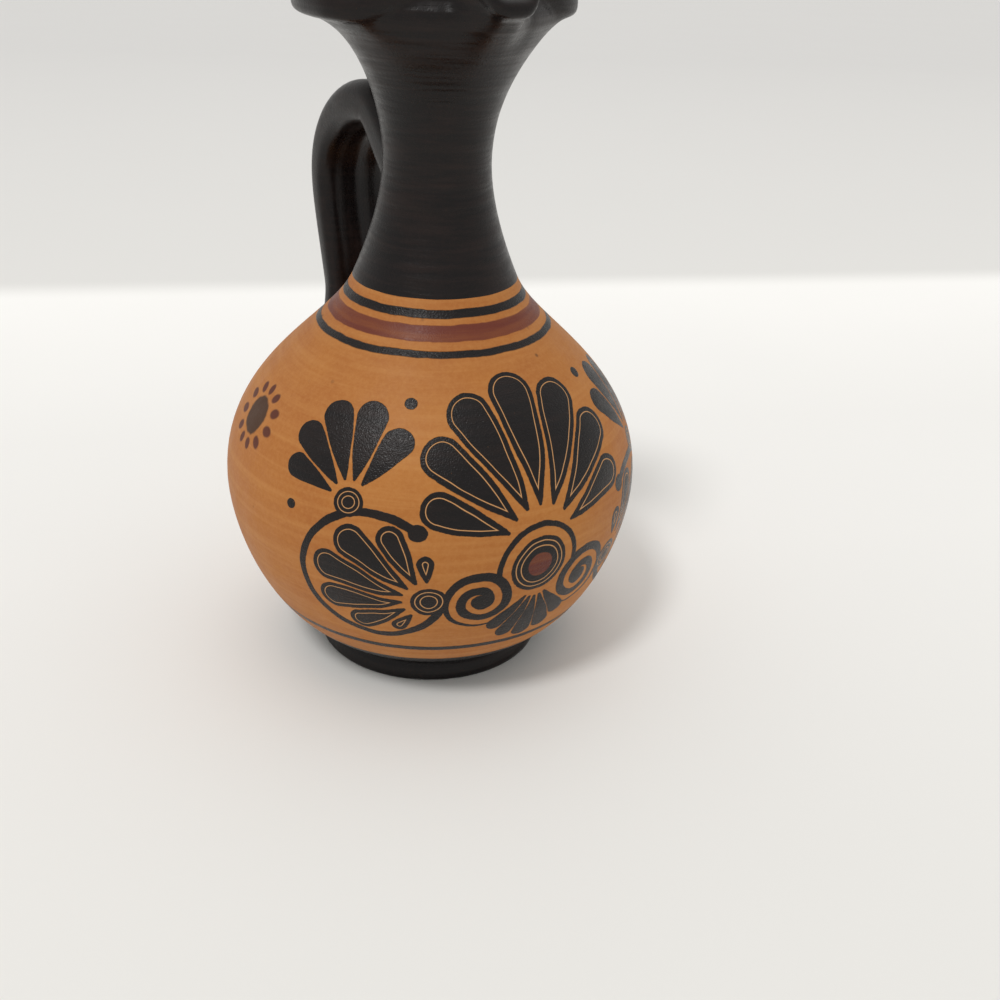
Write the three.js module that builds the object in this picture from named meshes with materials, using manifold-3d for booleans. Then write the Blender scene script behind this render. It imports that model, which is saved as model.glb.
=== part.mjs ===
// Small trefoil-mouthed pottery jug: a round wheel-thrown body on a foot ring,
// a separately thrown neck with a pinched mouth, and a pulled strap handle.
// Millimetres, +Z up, origin in the middle of the rest plane, spout towards -Y.

import * as THREE from 'three';
import { mergeVertices } from 'three/addons/utils/BufferGeometryUtils.js';
import Module from 'manifold-3d';

const wasm = await Module();
wasm.setup();

// Clay walls and the wet-clay seats between the pieces
const bodyWall = 2.6;
const neckWall = 2.4;
const floorThickness = 3.2;
const seatGap = 0.3;

// Foot ring
const footHeight = 3.5;
const footRestRadius = 18.5;
const footSeatRadius = 17.2;
const footRestWidth = 3.6;
const footSeatWidth = 4.2;
const footRound = 0.8;

// Body, from its seat on the foot up to the joint with the neck
const bellyRadius = 32.65;
const bellyHeight = 30.4;
const jointRadius = 12.5;
const jointHeight = 62;

// How far each curve of the outline keeps its end direction, as a share of the curve's own height or width
const bowlFullness = 0.67;
const bowlSlope = 0.36;
const bowlRise = 0.3;
const shoulderFullness = 0.54;
const shoulderTail = 0.265;
const jointSlope = 0.433;
const neckLead = 0.19;
const waistLead = 0.385;
const flareLead = 0.46;
const flareTail = 0.68;
const flareLift = 0.17;

// Neck and trefoil mouth
const waistRadius = 7.95;
const waistHeight = 79.5;
const flareRadius = 18.55;
const flareHeight = 98.95;
const lipFlange = 1.85;
const lipRise = 4.05;
const lipWidth = 3.2;
const lipRound = 1.4;

// Pinches on both sides of the spout: how deep, and the angles from the spout between which they act
const pressDepth = 5;
const pressedFlange = 0.9;
const pressStart = 18;
const pressFull = 34;
const pressEnd = 80;
const liftHeight = 3.8;
const liftStart = 12.8;
const liftFull = 38;
const liftEnd = 66;
const pinchFade = 4;

// Strap handle, opposite the spout
const strapWidth = 12.8;
const strapNeckWidth = 10.4;
const strapWidening = 0.3;
const strapNeckThickness = 8;
const strapShoulderThickness = 4.6;
const strapSquareness = 3.2;
const rootSpread = 1.6;
const rootSpreadFlatness = 0.3;
const rootLength = 0.16;
const rootSink = 1.8;
const neckRootHeight = 77;
const archStandOff = 5.7;
const archHeight = 85;
const handleReach = 32.6;
const handleReachHeight = 71.5;
const shoulderRootHeight = 45;
const shoulderRootSink = 4.2;

// How far each curve of the strap keeps its end direction, as a share of the curve's own width or height
const neckRootOut = 0.5;
const neckRootUp = 0.42;
const archBack = 0.3;
const archOut = 0.5;
const reachUp = 0.55;
const reachDown = 0.22;
const shoulderRootOut = 0.28;
const shoulderRootUp = 0.45;

// Facets
const around = 72;
const curveSteps = 9;
const roundSteps = 2;
const strapSides = 16;
const strapSteps = 14;

const clay = new THREE.MeshStandardMaterial({ color: 0xac7541, roughness: 0.62, metalness: 0 });
const slip = new THREE.MeshStandardMaterial({ color: 0x38312d, roughness: 0.38, metalness: 0 });

const point = (radius, height) => new THREE.Vector2(radius, height);

function curve(start, startHandle, endHandle, end) {
  return new THREE.CubicBezierCurve(start, startHandle, endHandle, end).getPoints(curveSteps);
}

// Moves an outline sideways by a distance, to its left as it climbs for a positive one
function offset(outline, distance) {
  return outline.map((here, index) => {
    const before = outline[Math.max(index - 1, 0)];
    const after = outline[Math.min(index + 1, outline.length - 1)];
    const along = after.clone().sub(before).normalize();
    return point(here.x - along.y * distance, here.y + along.x * distance);
  });
}

// Turns a profile round the +Z axis, with its first column of points towards -Y
function turned(profile) {
  const geometry = new THREE.LatheGeometry(profile, around);
  geometry.rotateX(Math.PI / 2);
  return welded(geometry);
}

function welded(geometry) {
  geometry.deleteAttribute('normal');
  geometry.deleteAttribute('uv');
  const merged = mergeVertices(geometry, 1e-4);
  const corners = merged.index.array;
  const kept = [];
  for (let i = 0; i < corners.length; i += 3) {
    const [a, b, c] = corners.slice(i, i + 3);
    if (a !== b && b !== c && c !== a) kept.push(a, b, c);
  }
  merged.setIndex(kept);
  return merged;
}

function solid(geometry) {
  return new wasm.Manifold(new wasm.Mesh({
    numProp: 3,
    vertProperties: new Float32Array(geometry.attributes.position.array),
    triVerts: new Uint32Array(geometry.index.array),
  }));
}

function surface(manifold) {
  const mesh = manifold.getMesh();
  const geometry = new THREE.BufferGeometry();
  geometry.setAttribute('position', new THREE.BufferAttribute(mesh.vertProperties, 3));
  geometry.setIndex(Array.from(mesh.triVerts));
  return geometry;
}

function piece(name, geometry, material) {
  const shaded = geometry.clone();
  shaded.computeVertexNormals();
  const mesh = new THREE.Mesh(shaded, material);
  mesh.name = name;
  return mesh;
}

// The outer outline, bottom to top, in three stretches that share their end points
const seatEdge = point(footSeatRadius, footHeight);
const belly = point(bellyRadius, bellyHeight);
const joint = point(jointRadius, jointHeight);
const waist = point(waistRadius, waistHeight);

const bowlRun = bowlFullness * (bellyRadius - footSeatRadius);
const shoulderRise = jointHeight - bellyHeight;
const tail = shoulderTail * shoulderRise;
const neckRise = waistHeight - jointHeight;
const lead = neckLead * neckRise;
const flareRise = flareHeight - waistHeight;
const flareRun = flareRadius - waistRadius;

const bowl = curve(
  seatEdge,
  point(footSeatRadius + bowlRun, footHeight + bowlSlope * bowlRun),
  point(bellyRadius, bellyHeight - bowlRise * (bellyHeight - footHeight)),
  belly,
);
const shoulder = curve(
  belly,
  point(bellyRadius, bellyHeight + shoulderFullness * shoulderRise),
  point(jointRadius + jointSlope * tail, jointHeight - tail),
  joint,
);
const throat = curve(
  joint,
  point(jointRadius - jointSlope * lead, jointHeight + lead),
  point(waistRadius, waistHeight - waistLead * neckRise),
  waist,
);
const flare = curve(
  waist,
  point(waistRadius, waistHeight + flareLead * flareRise),
  point(flareRadius - flareTail * flareRun, flareHeight - flareTail * flareLift * flareRun),
  point(flareRadius, flareHeight),
);
const bodyOutline = [...bowl, ...shoulder.slice(1)];
const wholeOutline = [...bodyOutline, ...throat.slice(1), ...flare.slice(1)];

// Outer radius of body or neck at a height
function outerRadius(height) {
  const above = wholeOutline.findIndex((corner) => corner.y >= height);
  const high = wholeOutline[above];
  const low = wholeOutline[above - 1];
  return THREE.MathUtils.mapLinear(height, low.y, high.y, low.x, high.x);
}

function footRing() {
  const restOuter = footRestRadius - footRound;
  const restInner = footRestRadius - footRestWidth;
  const recess = footSeatRadius - footSeatWidth;
  const outline = new THREE.Path();
  outline.moveTo(restInner, 0);
  outline.lineTo(restOuter, 0);
  outline.quadraticCurveTo(footRestRadius, 0, footRestRadius, footRound);
  outline.quadraticCurveTo(footRestRadius, footHeight / 2, footSeatRadius, footHeight);
  outline.lineTo(recess, footHeight);
  outline.quadraticCurveTo(recess, footHeight / 2, restInner, 0);
  return turned(outline.getPoints(roundSteps));
}

// Open bowl with a flat floor: up the outside, over the joint face and down the inside
function body() {
  const floorTop = footHeight + floorThickness;
  const inside = offset(bodyOutline, bodyWall);
  const lining = inside.filter((corner) => corner.y > floorTop && corner.y < jointHeight - bodyWall / 2);
  const floorEdge = inside.find((corner) => corner.y > floorTop);
  return turned([
    point(0, footHeight),
    ...bodyOutline,
    point(jointRadius - neckWall, jointHeight),
    ...lining.reverse(),
    point(floorEdge.x - bodyWall / 2, floorTop),
    point(0, floorTop),
  ]);
}

// Share of a pinch at an angle from the spout, in degrees: none at the spout, all of it beside it, none behind
function pinchShare(fromSpout, start, full, end) {
  const besideSpout = 1 - Math.exp(-((fromSpout / start) ** 4));
  return besideSpout * (1 - THREE.MathUtils.smoothstep(fromSpout, full, end));
}

// Outside of the neck from the joint to the lip, its flare pressed in and lifted more towards the end
function pinchedOutline(inwards, upwards) {
  const pressed = flare.map(({ x, y }) => {
    const give = ((x - waistRadius) / flareRun) ** pinchFade;
    return point(x - inwards * give, y + upwards * give);
  });
  return [...throat, ...pressed.slice(1)];
}

// Closed section through the neck wall: up the outside, round the thickened lip and down the inside
function neckSection(press, lift) {
  const outside = pinchedOutline(press * pressDepth, lift * liftHeight);
  const end = outside[outside.length - 1];
  const lipOuter = end.x + THREE.MathUtils.lerp(lipFlange, pressedFlange, press);
  const lipInner = lipOuter - lipWidth;
  const lipTop = end.y + lipRise;
  const lip = new THREE.Path();
  lip.moveTo(end.x, end.y);
  lip.quadraticCurveTo(lipOuter, end.y, lipOuter, end.y + lipRound);
  lip.lineTo(lipOuter, lipTop - lipRound);
  lip.quadraticCurveTo(lipOuter, lipTop, lipOuter - lipWidth / 2, lipTop);
  lip.quadraticCurveTo(lipInner, lipTop, lipInner, lipTop - lipRound);
  return [
    ...outside,
    ...lip.getPoints(roundSteps).slice(1),
    ...offset(outside, neckWall).slice(1, -1).reverse(),
    point(jointRadius - neckWall, jointHeight),
  ];
}

// Flared neck with a rounded lip, lofted through its sections so that the mouth comes out as a trefoil
function neckAndMouth() {
  const { degToRad, radToDeg } = THREE.MathUtils;
  const corners = [];
  let sides = 0;
  for (let ring = 0; ring < around; ring += 1) {
    const turn = degToRad((ring / around) * 360);
    const fromSpout = radToDeg(Math.acos(Math.cos(turn)));
    const press = pinchShare(fromSpout, pressStart, pressFull, pressEnd);
    const lift = pinchShare(fromSpout, liftStart, liftFull, liftEnd);
    const section = neckSection(press, lift);
    sides = section.length;
    for (const { x, y } of section) {
      corners.push(x * Math.sin(turn), -x * Math.cos(turn), y);
    }
  }
  return skinned(corners, tubeFaces(around, sides, true));
}

// Centre line of the strap in the plane behind the jug: up off the neck, over the arch, down to the shoulder
function strapLine() {
  const archRadius = outerRadius(archHeight) + archStandOff;
  const reach = handleReach - (strapNeckThickness + strapShoulderThickness) / 4;
  const drop = archHeight - handleReachHeight;
  const fall = handleReachHeight - shoulderRootHeight;
  const neckRoot = outerRadius(neckRootHeight) - rootSink;
  const limb = archRadius - neckRoot;
  const shoulderRoot = outerRadius(shoulderRootHeight) - shoulderRootSink;
  const place = (radius, height) => new THREE.Vector3(0, radius, height);
  const line = new THREE.CurvePath();
  line.add(new THREE.CubicBezierCurve3(
    place(neckRoot, neckRootHeight),
    place(neckRoot + neckRootOut * limb, neckRootHeight + neckRootUp * (archHeight - neckRootHeight)),
    place(archRadius - archBack * limb, archHeight),
    place(archRadius, archHeight),
  ));
  line.add(new THREE.CubicBezierCurve3(
    place(archRadius, archHeight),
    place(archRadius + archOut * (reach - archRadius), archHeight),
    place(reach, handleReachHeight + reachUp * drop),
    place(reach, handleReachHeight),
  ));
  line.add(new THREE.CubicBezierCurve3(
    place(reach, handleReachHeight),
    place(reach, handleReachHeight - reachDown * fall),
    place(shoulderRoot + shoulderRootOut * (reach - shoulderRoot), shoulderRootHeight + shoulderRootUp * fall),
    place(shoulderRoot, shoulderRootHeight),
  ));
  return line;
}

// Rounded strap swept along its centre line, spread on the shoulder and cut back clear of neck and body
function handle() {
  const { lerp, smoothstep } = THREE.MathUtils;
  const line = strapLine();
  const steps = strapSteps * line.curves.length;
  const corners = [];
  for (let ring = 0; ring <= steps; ring += 1) {
    const share = ring / steps;
    const centre = line.getPointAt(share);
    const along = line.getTangentAt(share);
    const spread = rootSpread * smoothstep(share, 1 - rootLength, 1);
    const width = lerp(strapNeckWidth, strapWidth, smoothstep(share, 0, strapWidening));
    const halfWidth = width / 2 + spread;
    const thickness = lerp(strapNeckThickness, strapShoulderThickness, share);
    const halfThickness = thickness / 2 + spread * rootSpreadFlatness;
    for (let side = 0; side < strapSides; side += 1) {
      const turn = (side / strapSides) * 2 * Math.PI;
      const across = halfWidth * rounded(Math.cos(turn));
      const outwards = halfThickness * rounded(Math.sin(turn));
      corners.push(across, centre.y - along.z * outwards, centre.z + along.y * outwards);
    }
  }
  const strap = skinned(corners, tubeFaces(steps + 1, strapSides, false));
  return surface(solid(strap).subtract(solid(vesselSpace())));
}

// Superellipse coordinate, squarer than a circle's
function rounded(value) {
  return Math.sign(value) * Math.abs(value) ** (2 / strapSquareness);
}

// Faces between rings of points: a closed ring of rings, or a tube with a fan over each end
function tubeFaces(rings, sides, closed) {
  const faces = [];
  const spans = closed ? rings : rings - 1;
  for (let ring = 0; ring < spans; ring += 1) {
    const here = ring * sides;
    const there = ((ring + 1) % rings) * sides;
    for (let side = 0; side < sides; side += 1) {
      const next = (side + 1) % sides;
      faces.push(here + side, there + side, here + next, here + next, there + side, there + next);
    }
  }
  const last = (rings - 1) * sides;
  for (let side = 1; side < sides - 1 && !closed; side += 1) {
    faces.push(0, side, side + 1);
    faces.push(last, last + side + 1, last + side);
  }
  return faces;
}

function skinned(corners, faces) {
  const geometry = new THREE.BufferGeometry();
  geometry.setAttribute('position', new THREE.Float32BufferAttribute(corners, 3));
  geometry.setIndex(faces);
  return geometry;
}

// The room that body and neck take up, grown by the seat gap
function vesselSpace() {
  const skin = offset(wholeOutline, -seatGap);
  const bottom = skin[0].y;
  const top = skin[skin.length - 1].y;
  return turned([point(0, bottom), ...skin, point(0, top)]);
}

const jug = new THREE.Group();
jug.add(piece('foot_ring', footRing(), slip));
jug.add(piece('body', body(), clay));
jug.add(piece('neck_and_mouth', neckAndMouth(), slip));
jug.add(piece('handle', handle(), slip));

export default jug;
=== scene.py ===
from math import atan2, copysign, cos, degrees, exp, hypot, pi, radians, sin, sqrt

import bmesh
import bpy
from bpy.props import FloatProperty, FloatVectorProperty, PointerProperty
from mathutils import Matrix, Vector
from mathutils.geometry import interpolate_bezier


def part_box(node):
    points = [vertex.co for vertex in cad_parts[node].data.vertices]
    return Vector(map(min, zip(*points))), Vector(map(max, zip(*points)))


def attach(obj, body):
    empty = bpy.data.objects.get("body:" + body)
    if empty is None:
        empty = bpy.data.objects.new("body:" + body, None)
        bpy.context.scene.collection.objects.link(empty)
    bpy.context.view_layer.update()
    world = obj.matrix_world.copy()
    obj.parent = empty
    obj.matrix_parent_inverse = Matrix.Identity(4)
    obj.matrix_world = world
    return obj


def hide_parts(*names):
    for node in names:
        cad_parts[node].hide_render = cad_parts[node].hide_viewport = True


bl_info = {
    "name": "Trefoil Jug",
    "version": (1, 0, 0),
    "blender": (4, 5, 0),
    "location": "3D View > Sidebar > Jug",
    "description": "Throws, pinches and paints a small pottery jug with a strap handle",
    "category": "Object",
}

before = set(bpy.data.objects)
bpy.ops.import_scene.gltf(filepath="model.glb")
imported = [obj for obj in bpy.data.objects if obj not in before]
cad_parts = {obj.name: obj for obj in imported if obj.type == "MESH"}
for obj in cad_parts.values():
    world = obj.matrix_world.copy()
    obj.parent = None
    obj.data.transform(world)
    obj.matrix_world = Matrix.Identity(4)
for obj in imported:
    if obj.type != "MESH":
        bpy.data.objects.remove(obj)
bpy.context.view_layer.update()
foot_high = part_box("foot_ring")[1]
body_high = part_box("body")[1]
MM = 0.001


def srgb(red, green, blue):
    """Scene colour of a display colour, whose three numbers go up to 255."""
    shares = [value / 255 for value in (red, green, blue)]
    return (*(s / 12.92 if s <= 0.04045 else ((s + 0.055) / 1.055) ** 2.4 for s in shares), 1.0)


def length(label, description, millimetres):
    """A length that the user may change, shown in the scene's unit."""
    return FloatProperty(name=label, description=description, default=millimetres * MM,
                         min=0.0, precision=5, subtype="DISTANCE", unit="LENGTH")


def share(label, description, value):
    """A share from 0 to 1."""
    return FloatProperty(name=label, description=description, default=value, min=0.0, max=1.0,
                         subtype="FACTOR")


def rotation(label, description, degrees):
    """An angle that the user may change, shown in degrees."""
    return FloatProperty(name=label, description=description, default=radians(degrees),
                         subtype="ANGLE", unit="ROTATION")


def colour(label, description, display):
    """A colour that the user may change, from its display values."""
    return FloatVectorProperty(name=label, description=description, default=srgb(*display),
                               min=0.0, max=1.0, size=4, subtype="COLOR")


class VesselSizes(bpy.types.PropertyGroup):
    """Foot, body and neck."""
    foot_rest_radius: length("Foot radius", "Outer radius of the foot where it rests",
                             foot_high.x / MM)
    foot_height: length("Foot height", "Height of the foot ring", foot_high.z / MM)
    foot_seat_radius: length("Foot seat", "Radius at which the body leaves the foot", 17.2)
    foot_rest_width: length("Rest width", "Width of the ring that touches the table", 3.6)
    foot_seat_width: length("Seat width", "Width of the foot ring under the body", 4.2)
    belly_radius: length("Belly radius", "Widest radius of the body", body_high.x / MM)
    belly_height: length("Belly height", "Height of the widest place", 30.4)
    joint_radius: length("Joint radius", "Radius where neck and body meet", 12.5)
    joint_height: length("Joint height", "Height where neck and body meet", body_high.z / MM)
    waist_radius: length("Waist radius", "Narrowest radius of the neck", 7.95)
    waist_height: length("Waist height", "Height of the narrowest place", 79.5)
    flare_radius: length("Flare radius", "Radius at which the lip begins", 18.55)
    flare_height: length("Flare height", "Height at which the lip begins", 98.95)
    body_wall: length("Body wall", "Thickness of the body's wall", 2.6)
    neck_wall: length("Neck wall", "Thickness of the neck's wall", 2.4)
    floor_thickness: length("Floor", "Thickness of the body's floor", 3.2)
    bowl_fullness: share("Bowl fullness", "How far out the bowl runs before it turns up", 0.67)
    bowl_slope: share("Bowl slope", "Rise of the bowl at the foot for its run", 0.36)
    bowl_rise: share("Bowl rise", "How long the bowl stays upright below the belly", 0.3)
    shoulder_fullness: share("Shoulder fullness", "How long the shoulder stays upright", 0.54)
    shoulder_tail: share("Shoulder tail", "How long the shoulder is straight at its top", 0.265)
    joint_slope: share("Joint slope", "Run of the outline at the joint for its rise", 0.433)
    neck_lead: share("Neck lead", "How long the neck keeps the joint's slope", 0.19)
    waist_lead: share("Waist lead", "How long the neck is upright below the waist", 0.385)
    flare_lead: share("Flare lead", "How long the neck is upright above the waist", 0.35)
    flare_tail: share("Flare tail", "How long the flare runs nearly level to the lip", 0.68)
    flare_lift: share("Flare lift", "Rise of the flare at the lip for its run", 0.17)


class MouthSizes(bpy.types.PropertyGroup):
    """Lip and the pinches beside the spout."""
    lip_flange: length("Lip flange", "How far the lip stands out from the flare", 1.85)
    pressed_flange: length("Pressed flange", "The same in the middle of a pinch", 0.9)
    lip_rise: length("Lip rise", "Height of the lip above the flare", 4.05)
    lip_width: length("Lip width", "Thickness of the lip", 3.2)
    lip_round: length("Lip round", "Rounding of the lip's edges", 1.4)
    press_depth: length("Pinch depth", "How far the pinches press the mouth in", 5.0)
    lift_height: length("Pinch lift", "How far the pinches lift the lip", 3.8)
    spout_slimness: length("Spout slimness", "How much lower the lip is on the spout", 1.3)
    front_fullness: length("Front fullness", "How much fuller the flare is in front", 0.75)


class StrapSizes(bpy.types.PropertyGroup):
    """Strap handle."""
    width: length("Width", "Width of the strap", 12.8)
    neck_width: length("Neck width", "Width of the strap where it leaves the neck", 10.4)
    neck_thickness: length("Neck thickness", "Thickness of the strap at the neck", 8.0)
    shoulder_thickness: length("Shoulder thickness", "Thickness of the strap at the shoulder", 4.6)
    shoulder_spread: length("Shoulder spread", "Extra half width on the shoulder", 1.6)
    neck_root_height: length("Neck root", "Height at which the strap leaves the neck", 77.0)
    arch_height: length("Arch height", "Height of the middle of the arch", 85.0)
    arch_stand_off: length("Arch distance", "Distance of the arch's top from the neck", 5.7)
    reach: length("Reach", "How far the strap reaches out from the axis", 32.6)
    reach_height: length("Reach height", "Height of the strap's farthest place", 71.5)
    shoulder_root_height: length("Shoulder root", "Height at which the strap lands", 45.0)
    fillet: length("Fillet", "How far the joints of the strap are smeared out", 1.7)
    groove_depth: length("Groove depth", "Depth of the grooves drawn along it", 0.32)


class SlipColours(bpy.types.PropertyGroup):
    """Colours of clay and slip."""
    clay: colour("Clay", "Burnished orange clay", (177, 114, 51))
    pale_clay: colour("Pale clay", "Lighter flecks and streaks of the clay", (194, 137, 76))
    deep_clay: colour("Deep clay", "Redder patches of the clay", (164, 99, 44))
    black: colour("Black slip", "Brownish black slip", (16, 12, 12))
    thin_black: colour("Thin black", "Black slip where the brush left little", (42, 29, 25))
    maroon: colour("Maroon", "Added red of the broad ring", (99, 42, 31))
    dot: colour("Dots", "Brown slip of the rosettes' dots", (90, 45, 30))
    incised: colour("Incised lines", "Clay bared by the graver", (206, 156, 106))
    raw_clay: colour("Raw clay", "Unslipped clay inside", (178, 124, 82))


class RingHeights(bpy.types.PropertyGroup):
    """Heights of the painted rings on shoulder and bowl."""
    neck_edge: length("Neck edge", "Lower edge of the black neck", 62.0)
    upper_top: length("Upper ring top", "Upper edge of the upper black ring", 60.7)
    upper_bottom: length("Upper ring bottom", "Lower edge of the upper black ring", 59.6)
    maroon_top: length("Maroon top", "Upper edge of the maroon ring", 58.8)
    maroon_bottom: length("Maroon bottom", "Lower edge of the maroon ring", 56.9)
    lower_top: length("Lower ring top", "Upper edge of the lower black ring", 55.9)
    lower_bottom: length("Lower ring bottom", "Lower edge of the lower black ring", 55.1)
    ground_top: length("Ground top", "Upper edge of the line under the ornament", 12.6)
    ground_bottom: length("Ground bottom", "Lower edge of the line under the ornament", 11.6)
    base_top: length("Base top", "Upper edge of the black base", 8.2)


class StageSettings(bpy.types.PropertyGroup):
    """Camera, table and light."""
    turn: rotation("Camera turn", "How far the camera stands round from the spout", 33)
    tilt: rotation("Camera tilt", "How far the camera looks down", 27)
    roll: rotation("Camera roll", "How far the camera leans over", 2.646)
    distance: length("Camera distance", "Level distance of the camera from the axis", 184.5)
    height: length("Camera height", "Height of the camera above the table", 118.0)
    aside: length("Camera aside", "How far the camera stands to the right of the axis", 11.425)
    table: colour("Table", "White table", (240, 239, 236))
    # Painted shade: the table darker on the camera's side, where the camera shades it
    front_table_shade: colour("Front table", "The table on the camera's side", (230, 229, 225))
    # Painted light: the table brighter where it meets the wall
    far_table_light: colour("Far table", "The table where it meets the wall", (250, 249, 246))
    wall: colour("Wall", "Pale wall behind the table", (212, 211, 209))
    # Painted light: the wall brighter where it meets the table
    low_wall_light: colour("Low wall", "The wall where it meets the table", (224, 223, 220))
    level: share("Light level", "Share of the light that a white table sends back", 1.0)
    seam: length("Wall distance", "Distance from the jug's axis to the wall", 192.0)
    seam_turn: rotation("Wall turn", "How far the wall is turned from the camera", 11.7)


# Outline of the vessel

OUTLINE_STEPS = 30
SPIN_STEPS = 192
ROUND_STEPS = 6


def bezier(*knots, steps=OUTLINE_STEPS):
    """Points of a curve through knot, handle, handle, knot, each a (radius, height)."""
    start, lead, trail, end = (Vector(knot) for knot in knots)
    return interpolate_bezier(start, lead, trail, end, steps + 1)


def arc(start, corner, end, steps=ROUND_STEPS):
    """Rounded corner between two points, drawn towards their common corner."""
    start, corner, end = Vector(start), Vector(corner), Vector(end)
    return bezier(start, start.lerp(corner, 2 / 3), end.lerp(corner, 2 / 3), end, steps=steps)


def chain(*runs):
    """One line of points from several that share their ends."""
    joined = list(runs[0])
    for run in runs[1:]:
        joined += run[1:]
    return joined


def evenly(path, count):
    """Points at equal distances along a path."""
    lengths = [0.0]
    for a, b in zip(path, path[1:]):
        lengths.append(lengths[-1] + (b - a).length)
    points = []
    index = 0
    for step in range(count + 1):
        goal = lengths[-1] * step / count
        while index < len(path) - 2 and lengths[index + 1] < goal:
            index += 1
        span = lengths[index + 1] - lengths[index]
        points.append(path[index].lerp(path[index + 1], (goal - lengths[index]) / span))
    return points


def direction(line, index):
    """Direction of a line at one of its points."""
    return (line[min(index + 1, len(line) - 1)] - line[max(index - 1, 0)]).normalized()


def offset(line, distance):
    """The line moved sideways, to its left for a positive distance."""
    moved = []
    for index, here in enumerate(line):
        along = direction(line, index)
        moved.append(here + distance * Vector((-along.y, along.x)))
    return moved


def smoothed(line, passes):
    """The line with its kinks eased, its two ends kept."""
    for _ in range(passes):
        eased = [(a + 2 * b + c) / 4 for a, b, c in zip(line, line[1:], line[2:])]
        line = [line[0], *eased, line[-1]]
    return line


def bowl_line(v):
    """Outside of the bowl, from the foot to the belly."""
    run = v.bowl_fullness * (v.belly_radius - v.foot_seat_radius)
    return bezier(
        (v.foot_seat_radius, v.foot_height),
        (v.foot_seat_radius + run, v.foot_height + v.bowl_slope * run),
        (v.belly_radius, v.belly_height - v.bowl_rise * (v.belly_height - v.foot_height)),
        (v.belly_radius, v.belly_height),
    )


def shoulder_line(v):
    """Outside of the shoulder, from the belly to the joint."""
    rise = v.joint_height - v.belly_height
    tail = v.shoulder_tail * rise
    return bezier(
        (v.belly_radius, v.belly_height),
        (v.belly_radius, v.belly_height + v.shoulder_fullness * rise),
        (v.joint_radius + v.joint_slope * tail, v.joint_height - tail),
        (v.joint_radius, v.joint_height),
    )


def throat_line(v):
    """Outside of the neck, from the joint to the waist."""
    rise = v.waist_height - v.joint_height
    lead = v.neck_lead * rise
    return bezier(
        (v.joint_radius, v.joint_height),
        (v.joint_radius - v.joint_slope * lead, v.joint_height + lead),
        (v.waist_radius, v.waist_height - v.waist_lead * rise),
        (v.waist_radius, v.waist_height),
    )


def flare_line(v):
    """Outside of the flare, from the waist to the lip."""
    rise = v.flare_height - v.waist_height
    tail = v.flare_tail * (v.flare_radius - v.waist_radius)
    return bezier(
        (v.waist_radius, v.waist_height),
        (v.waist_radius, v.waist_height + v.flare_lead * rise),
        (v.flare_radius - tail, v.flare_height - v.flare_lift * tail),
        (v.flare_radius, v.flare_height),
    )


def body_line(v):
    """Outside of the body, from the foot to the joint."""
    return chain(bowl_line(v), shoulder_line(v))


def vessel_line(v):
    """Outside of the whole vessel, from the foot to the lip."""
    return chain(body_line(v), throat_line(v), flare_line(v))


def radius_at(line, height):
    """Radius of an outline at a height."""
    for low, high in zip(line, line[1:]):
        if low.y <= height <= high.y:
            return low.x + (high.x - low.x) * (height - low.y) / (high.y - low.y)
    raise ValueError(f"The outline doesn't reach {height}")


def slope_at(line, height, step):
    """Change of an outline's radius with its height."""
    return (radius_at(line, height + step) - radius_at(line, height - step)) / (2 * step)


# Meshes

SHARP = radians(50)
DOUBLES = 0.001 * MM


def profile_edges(bm, line, closed=False):
    """Vertices and edges of an outline, drawn in the plane that faces the spout."""
    corners = [bm.verts.new((0, -radius, height)) for radius, height in line]
    following = corners[1:] + corners[:1] if closed else corners[1:]
    return corners + [bm.edges.new(pair) for pair in zip(corners, following)]


def spun(bm, outline):
    """Spins an outline once round the axis."""
    bmesh.ops.spin(bm, geom=outline, cent=(0, 0, 0), axis=(0, 0, 1), angle=2 * pi,
                   steps=SPIN_STEPS, use_merge=True)
    bmesh.ops.remove_doubles(bm, verts=bm.verts, dist=DOUBLES)


def placed(name, data):
    """Puts new data into the scene as an object."""
    made = bpy.data.objects.new(name, data)
    bpy.context.scene.collection.objects.link(made)
    return made


def as_object(bm, name, material):
    """Turns a bmesh into an object of one material."""
    mesh = bpy.data.meshes.new(name)
    bm.to_mesh(mesh)
    bm.free()
    mesh.materials.append(material)
    return placed(name, mesh)


def finished(bm, name, slot, material, *replaced):
    """Turns a bmesh into a piece that rides on the jug and stands for its CAD nodes."""
    bmesh.ops.recalc_face_normals(bm, faces=bm.faces)
    for face in bm.faces:
        face.smooth = True
    for edge in bm.edges:
        edge.smooth = edge.calc_face_angle(0) < SHARP
    made = as_object(bm, name, material)
    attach(made, "root")
    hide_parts(*replaced)


def smoothstep(value, low, high):
    """0 up to one value and 1 from another on, with a soft passage between them."""
    t = min(max((value - low) / (high - low), 0), 1)
    return t * t * (3 - 2 * t)


# Trefoil mouth

PRESS_ANGLES = (18, 34, 80)
LIFT_ANGLES = (12.8, 38, 66)
SPOUT_ANGLES = (9, 27)
FRONT_ANGLES = (78, 110)
PINCH_FADE = 4
SHELL_STEPS = 150
SECTION_EASING = 12
LINING_STOP = 6
LIP_CORNER = 0.3
SWELL_START = (0.2, 0.75)
SWELL_END = (0.88, 1.0)


def pinch_share(from_spout, start, full, end):
    """Share of a pinch at an angle from the spout, in degrees."""
    beside = 1 - exp(-((from_spout / start) ** 4))
    return beside * (1 - smoothstep(from_spout, full, end))


def swelling(along):
    """How much of the front's fullness a place on the flare takes, from waist to lip."""
    part = sqrt(max(along, 0.0))
    return smoothstep(part, *SWELL_START) * (1 - smoothstep(part, *SWELL_END))


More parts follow.
